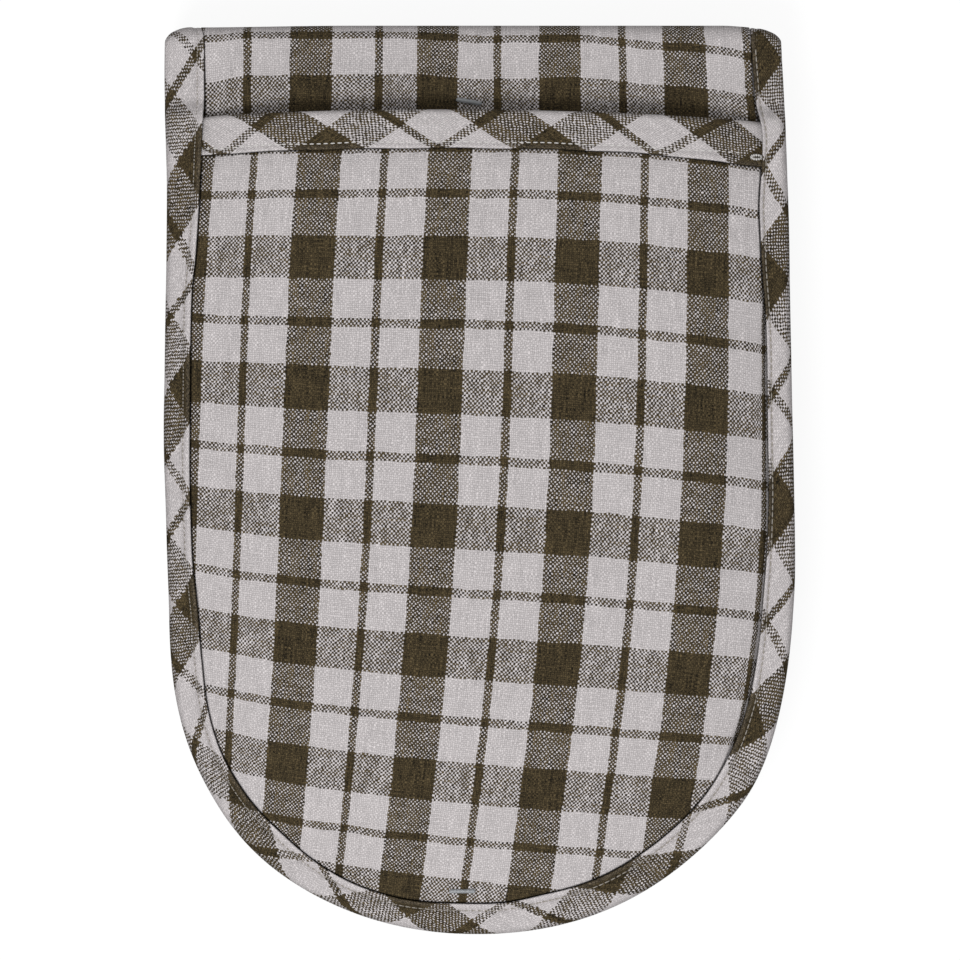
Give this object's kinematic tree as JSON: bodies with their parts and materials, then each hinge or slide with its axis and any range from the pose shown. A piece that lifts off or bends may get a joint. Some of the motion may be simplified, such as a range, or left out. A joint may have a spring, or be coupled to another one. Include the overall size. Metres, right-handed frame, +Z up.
{
  "type": "oven glove",
  "caption": "Double oven glove in checked cotton, a padded strip with a hand pocket at each end, folded up flat with the front pocket uppermost.",
  "frame": {"origin": "centre of the bounding box's base, on the surface that the glove lies on", "axes": "+Y towards the folded edge, the round ends at -Y; +Z up, out of the front pocket; +X to the right in the picture"},
  "size_m": [0.18, 0.26, 0.0407],
  "materials": {
    "check_cloth": "yarn-dyed plain weave cotton, check in warm light grey and dark olive brown",
    "bias_check_cloth": "the same check cut at 45 degrees and folded into binding",
    "lining_cloth": "plain weave natural cotton",
    "wadding": "soft needled fibre wadding",
    "tag_plastic": "clear moulded nylon, slightly grey"
  },
  "bodies": {
    "back_end": {"back_pocket_cloth": "check_cloth", "back_pocket_wadding": "wadding", "back_pocket_lining": "lining_cloth", "back_mouth_binding": "bias_check_cloth", "back_pad_face": "check_cloth", "back_pad_wadding": "wadding", "back_pad_backing": "check_cloth", "back_edge_binding": "bias_check_cloth"},
    "centre_back": {"centre_back_face": "check_cloth", "centre_back_wadding": "wadding", "centre_back_backing": "check_cloth", "centre_back_left_binding": "bias_check_cloth", "centre_back_right_binding": "bias_check_cloth", "back_fold_face": "check_cloth", "back_fold_wadding": "wadding", "back_fold_backing": "check_cloth", "back_fold_left_binding": "bias_check_cloth", "back_fold_right_binding": "bias_check_cloth"},
    "centre_front": {"centre_front_face": "check_cloth", "centre_front_wadding": "wadding", "centre_front_backing": "check_cloth", "centre_front_left_binding": "bias_check_cloth", "centre_front_right_binding": "bias_check_cloth", "middle_fold_face": "check_cloth", "middle_fold_wadding": "wadding", "middle_fold_backing": "check_cloth", "middle_fold_left_binding": "bias_check_cloth", "middle_fold_right_binding": "bias_check_cloth"},
    "front_end": {"front_pocket_cloth": "check_cloth", "front_pocket_wadding": "wadding", "front_pocket_lining": "lining_cloth", "front_mouth_binding": "bias_check_cloth", "front_pad_face": "check_cloth", "front_pad_wadding": "wadding", "front_pad_backing": "check_cloth", "front_edge_binding": "bias_check_cloth", "tag_pin_top": "tag_plastic", "tag_pin_bottom": "tag_plastic", "front_fold_face": "check_cloth", "front_fold_wadding": "wadding", "front_fold_backing": "check_cloth", "front_fold_left_binding": "bias_check_cloth", "front_fold_right_binding": "bias_check_cloth"}
  },
  "joints": [
    {"name": "back_fold", "type": "hinge", "parent": "back_end", "child": "centre_back", "pos_m": [0, 0.1246, 0.0145], "axis": [-1, 0, 0], "range_deg": [0, 178], "deforming": ["back_fold_face", "back_fold_wadding", "back_fold_backing", "back_fold_left_binding", "back_fold_right_binding"]},
    {"name": "middle_fold", "type": "hinge", "parent": "centre_back", "child": "centre_front", "pos_m": [0, -0.0286, 0.0201], "axis": [1, 0, 0], "range_deg": [0, 178], "deforming": ["middle_fold_face", "middle_fold_wadding", "middle_fold_backing", "middle_fold_left_binding", "middle_fold_right_binding"]},
    {"name": "front_fold", "type": "hinge", "parent": "centre_front", "child": "front_end", "pos_m": [0, 0.1246, 0.0257], "axis": [-1, 0, 0], "range_deg": [0, 178], "deforming": ["front_fold_face", "front_fold_wadding", "front_fold_backing", "front_fold_left_binding", "front_fold_right_binding"]}
  ],
  "couplings": [
    {"joint": "middle_fold", "follows": "back_fold", "ratio": 1}
  ]
}
